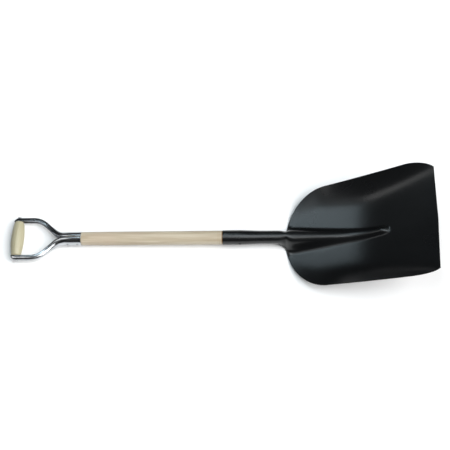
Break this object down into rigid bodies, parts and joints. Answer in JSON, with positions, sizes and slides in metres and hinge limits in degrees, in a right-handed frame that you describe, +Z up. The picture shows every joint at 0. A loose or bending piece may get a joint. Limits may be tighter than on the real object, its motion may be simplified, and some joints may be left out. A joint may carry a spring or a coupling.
{
  "type": "grain scoop shovel",
  "caption": "Wide pressed steel scoop shovel with a central ridge, a wooden shaft and a D-shaped steel yoke with a turned wooden grip.",
  "frame": {"origin": "floor point under the middle of the tool's bounding box, with the scoop's heel and the grip resting on the floor", "axes": "+X along the tool from the grip to the cutting edge, +Y across, +Z up out of the scoop's open side"},
  "size_m": [1.0842, 0.304, 0.152],
  "materials": {
    "black_paint": "satin black stoved paint on pressed steel",
    "shaft_wood": "smooth, thinly varnished",
    "grip_wood": "smooth turned",
    "bright_steel": "bright plated",
    "rivet_steel": "worn bright",
    "black_rivet": "painted over with the scoop"
  },
  "bodies": {
    "shovel": {"scoop_head": "black_paint", "shaft": "shaft_wood", "socket_rivet": "black_rivet", "yoke_left": "bright_steel", "yoke_right": "bright_steel", "yoke_rivet_front": "rivet_steel", "yoke_rivet_rear": "rivet_steel", "grip_pin": "rivet_steel"},
    "grip": {"grip_roller": "grip_wood"}
  },
  "joints": [
    {"name": "grip_spin", "type": "hinge", "parent": "shovel", "child": "grip", "pos_m": [-0.52517, 0, 0.0169], "axis": [0, 1, 0], "continuous": true}
  ]
}
